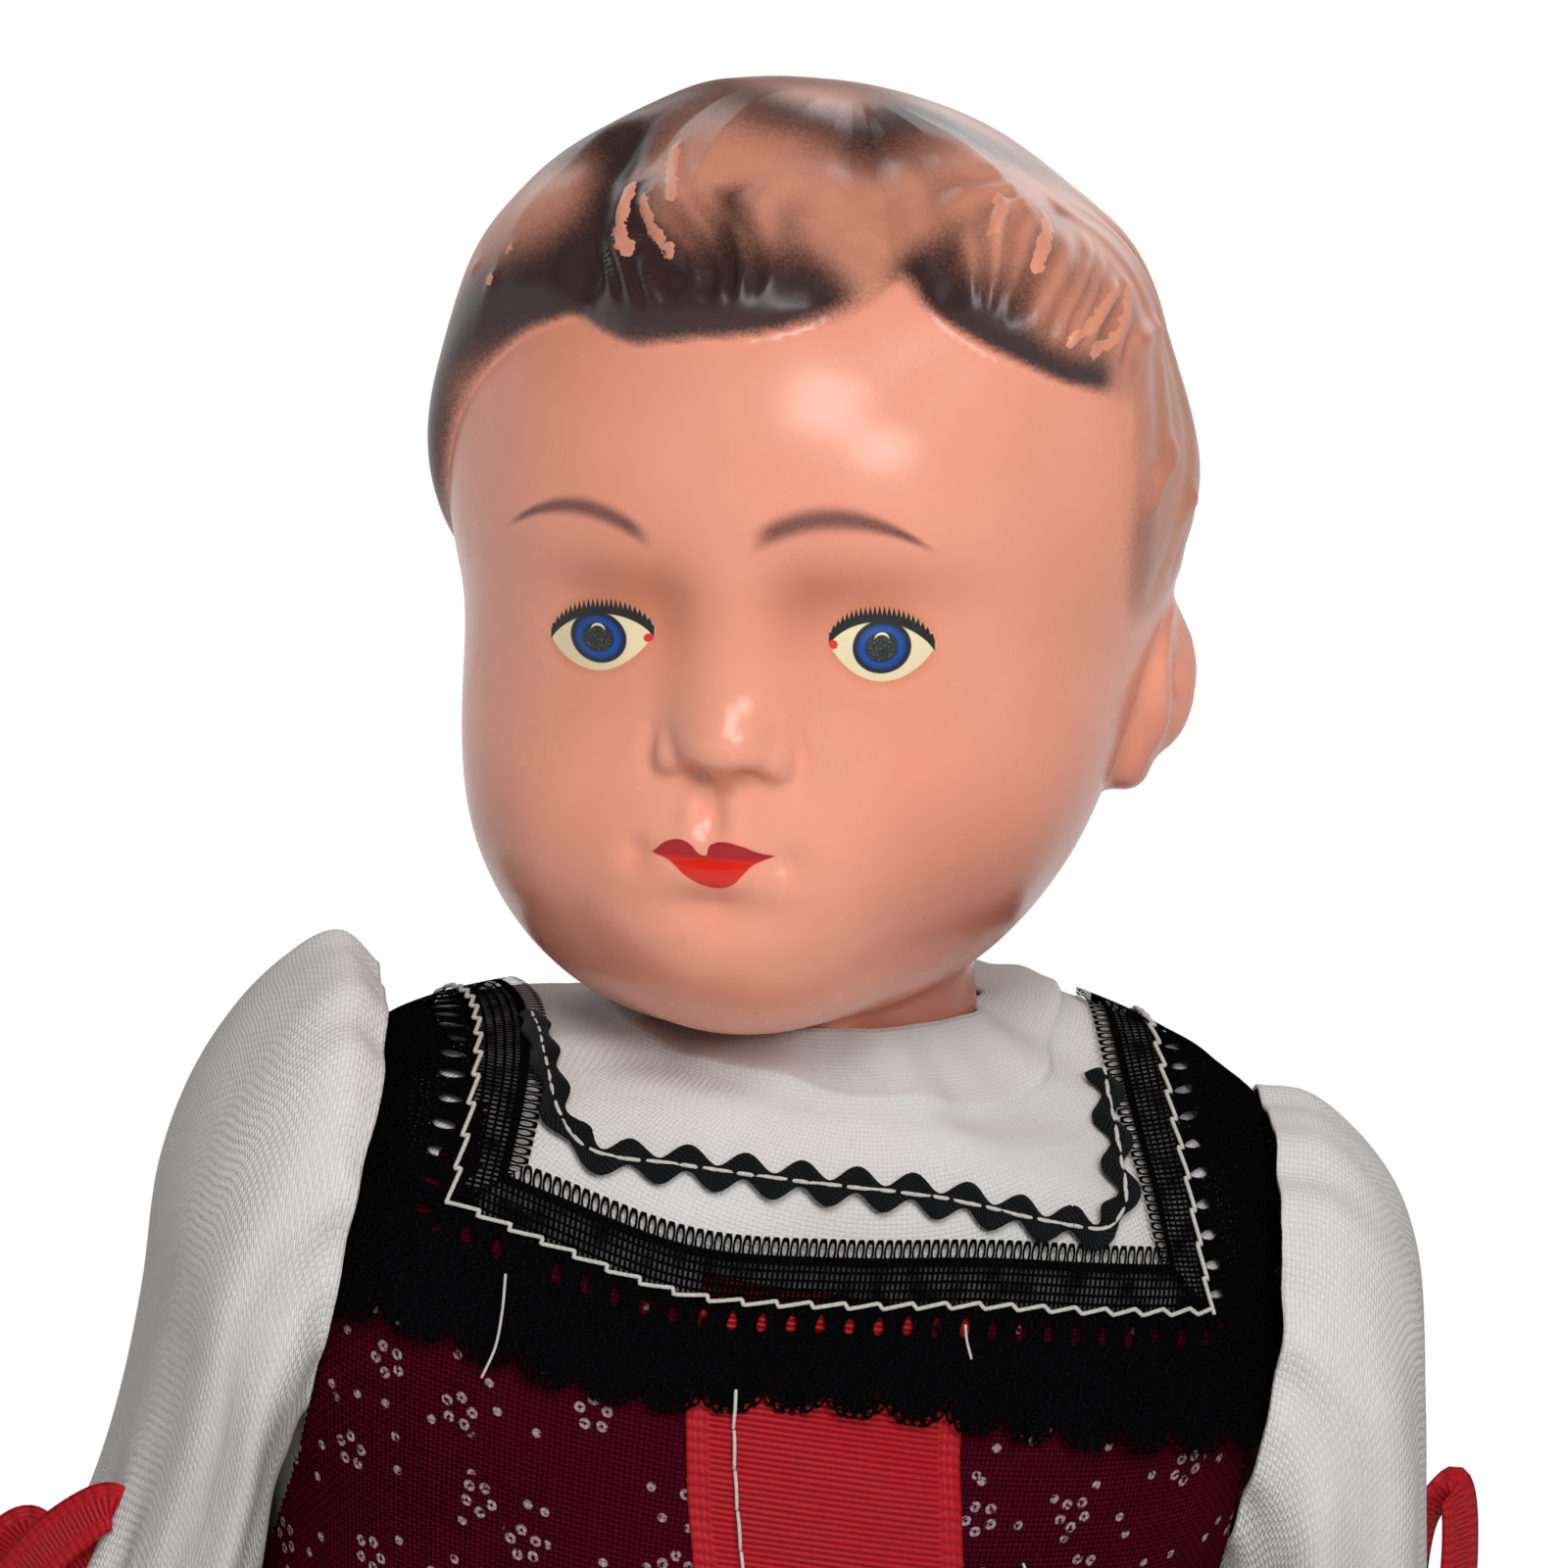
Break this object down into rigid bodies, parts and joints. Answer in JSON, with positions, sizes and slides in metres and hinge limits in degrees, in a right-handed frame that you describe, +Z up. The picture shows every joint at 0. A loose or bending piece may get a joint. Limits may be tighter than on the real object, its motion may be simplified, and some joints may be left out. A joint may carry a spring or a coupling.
{
  "type": "folk costume doll",
  "caption": "Strung doll with a turning, nodding socket head and swinging limbs, dressed in a lace-collared printed bodice, full gathered skirt, white blouse, stockings and strap shoes",
  "frame": {"origin": "on the floor below the middle of the doll's bounding box", "axes": "+Z up, the doll faces -Y, its own left is +X"},
  "size_m": [0.188, 0.188, 0.4053],
  "materials": {
    "skin_plastic": "glossy moulded plastic with airbrushed features and hair",
    "white_cotton": "plain woven white cotton",
    "burgundy_print": "burgundy cotton with small white flowers",
    "black_lace": "black cotton lace",
    "black_braid": "black rickrack braid",
    "red_ribbon": "ribbed red grosgrain ribbon",
    "white_knit": "fine white knit",
    "black_leather": "smooth black leather",
    "sole_leather": "plain brown sole leather",
    "steel_wire": "bent steel wire",
    "plug_wood": "turned wood",
    "elastic_rubber": "covered elastic cord",
    "pearl_button": "pearl button"
  },
  "bodies": {
    "torso": {"torso_front": "skin_plastic", "torso_back": "skin_plastic", "body_elastic": "elastic_rubber", "arm_elastic": "elastic_rubber", "blouse_body": "white_cotton", "blouse_yoke": "white_cotton", "blouse_neck_band": "white_cotton", "bodice_front": "burgundy_print", "bodice_back_left": "burgundy_print", "bodice_back_right": "burgundy_print", "lace_collar": "black_lace", "rickrack_braid": "black_braid", "front_ribbon": "red_ribbon", "back_button_1": "pearl_button", "back_button_2": "pearl_button", "back_button_3": "pearl_button", "waistband_ribbon": "red_ribbon", "skirt": "burgundy_print", "petticoat": "white_cotton"},
    "neck": {"neck_hook": "steel_wire"},
    "head": {"head_face": "skin_plastic", "head_back": "skin_plastic", "neck_plug": "plug_wood"},
    "arm_left": {"arm_left": "skin_plastic", "arm_hook_left": "steel_wire", "sleeve_left": "white_cotton", "sleeve_ribbon_left": "red_ribbon", "sleeve_bow_left": "red_ribbon"},
    "leg_left": {"leg_left": "skin_plastic", "leg_hook_left": "steel_wire", "stocking_left": "white_knit", "shoe_left": "black_leather", "shoe_sole_left": "sole_leather", "shoe_strap_left": "black_leather", "shoe_button_left": "pearl_button"},
    "arm_right": {"arm_right": "skin_plastic", "arm_hook_right": "steel_wire", "sleeve_right": "white_cotton", "sleeve_ribbon_right": "red_ribbon", "sleeve_bow_right": "red_ribbon"},
    "leg_right": {"leg_right": "skin_plastic", "leg_hook_right": "steel_wire", "stocking_right": "white_knit", "shoe_right": "black_leather", "shoe_sole_right": "sole_leather", "shoe_strap_right": "black_leather", "shoe_button_right": "pearl_button"}
  },
  "joints": [
    {"name": "head_nod", "type": "hinge", "parent": "torso", "child": "neck", "pos_m": [0, 0, 0.3205], "axis": [1, 0, 0], "range_deg": [-5, 5]},
    {"name": "head_turn", "type": "hinge", "parent": "neck", "child": "head", "pos_m": [0, 0, 0.3205], "axis": [-0.165, 0, 0.9863], "range_deg": [-40, 88]},
    {"name": "arm_left_swing", "type": "hinge", "parent": "torso", "child": "arm_left", "pos_m": [0.048, 0, 0.296], "axis": [-1, 0, 0], "range_deg": [-40, 120]},
    {"name": "arm_right_swing", "type": "hinge", "parent": "torso", "child": "arm_right", "pos_m": [-0.048, 0, 0.296], "axis": [-1, 0, 0], "range_deg": [-40, 120]},
    {"name": "leg_left_swing", "type": "hinge", "parent": "torso", "child": "leg_left", "pos_m": [0.03, 0, 0.196], "axis": [-1, 0, 0], "range_deg": [-25, 25]},
    {"name": "leg_right_swing", "type": "hinge", "parent": "torso", "child": "leg_right", "pos_m": [-0.03, 0, 0.196], "axis": [-1, 0, 0], "range_deg": [-25, 25]}
  ]
}
